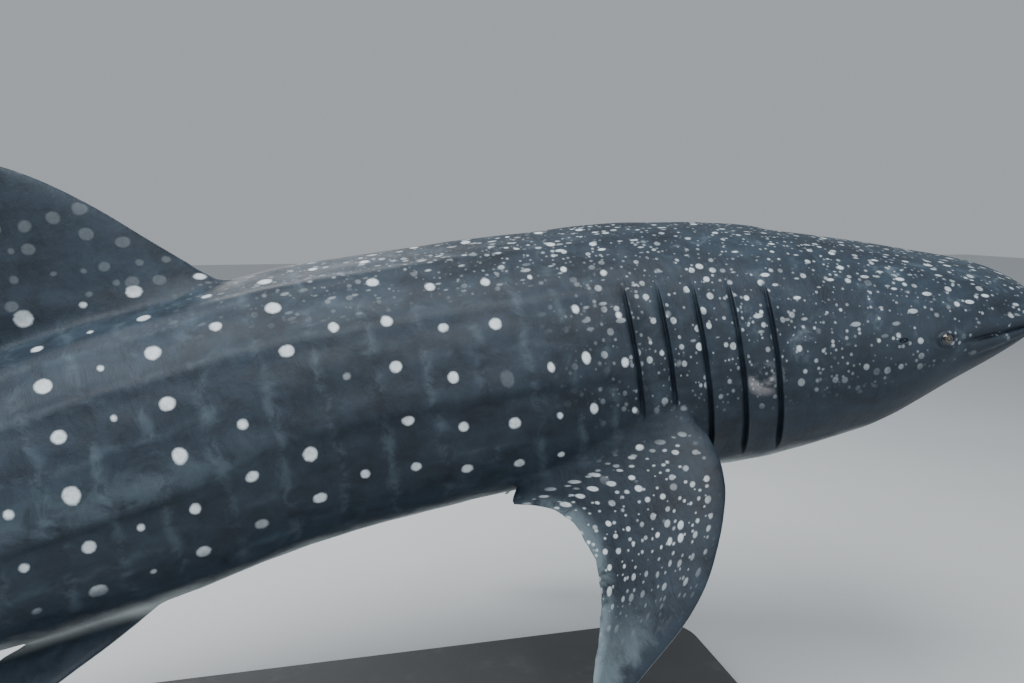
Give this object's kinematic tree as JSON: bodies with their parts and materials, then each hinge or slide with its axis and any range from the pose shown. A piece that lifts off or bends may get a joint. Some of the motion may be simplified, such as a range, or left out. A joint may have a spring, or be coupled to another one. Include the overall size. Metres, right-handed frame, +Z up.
{
  "type": "whale shark model",
  "caption": "Life-size whale shark turning gently to its right, nose slightly up, held over the floor on a flat base with plain rods.",
  "frame": {"origin": "centre of the underside of the stand's base, on the floor", "axes": "+X toward the snout, +Y to the animal's left, +Z up"},
  "size_m": [6.4878, 3.2021, 2.4076],
  "materials": {
    "skin": "satin slate blue-grey with pale round spots and bars, paler belly",
    "eye": "gloss, near black",
    "stand_rod": "brushed",
    "stand_base": "matte dark grey paint"
  },
  "bodies": {
    "root": {"head": "skin", "lower_jaw": "skin", "eye_right": "eye", "eye_left": "eye", "gills": "skin", "trunk_front": "skin", "trunk_middle": "skin", "trunk_rear": "skin", "tail_stalk": "skin", "tail_lobe_upper": "skin", "tail_lobe_lower": "skin", "pectoral_right": "skin", "pectoral_left": "skin", "pelvic_right": "skin", "pelvic_left": "skin", "dorsal_first": "skin", "dorsal_second": "skin", "anal_fin": "skin", "stand_rod_front": "stand_rod", "stand_rod_rear": "stand_rod", "stand_base": "stand_base"}
  },
  "joints": []
}
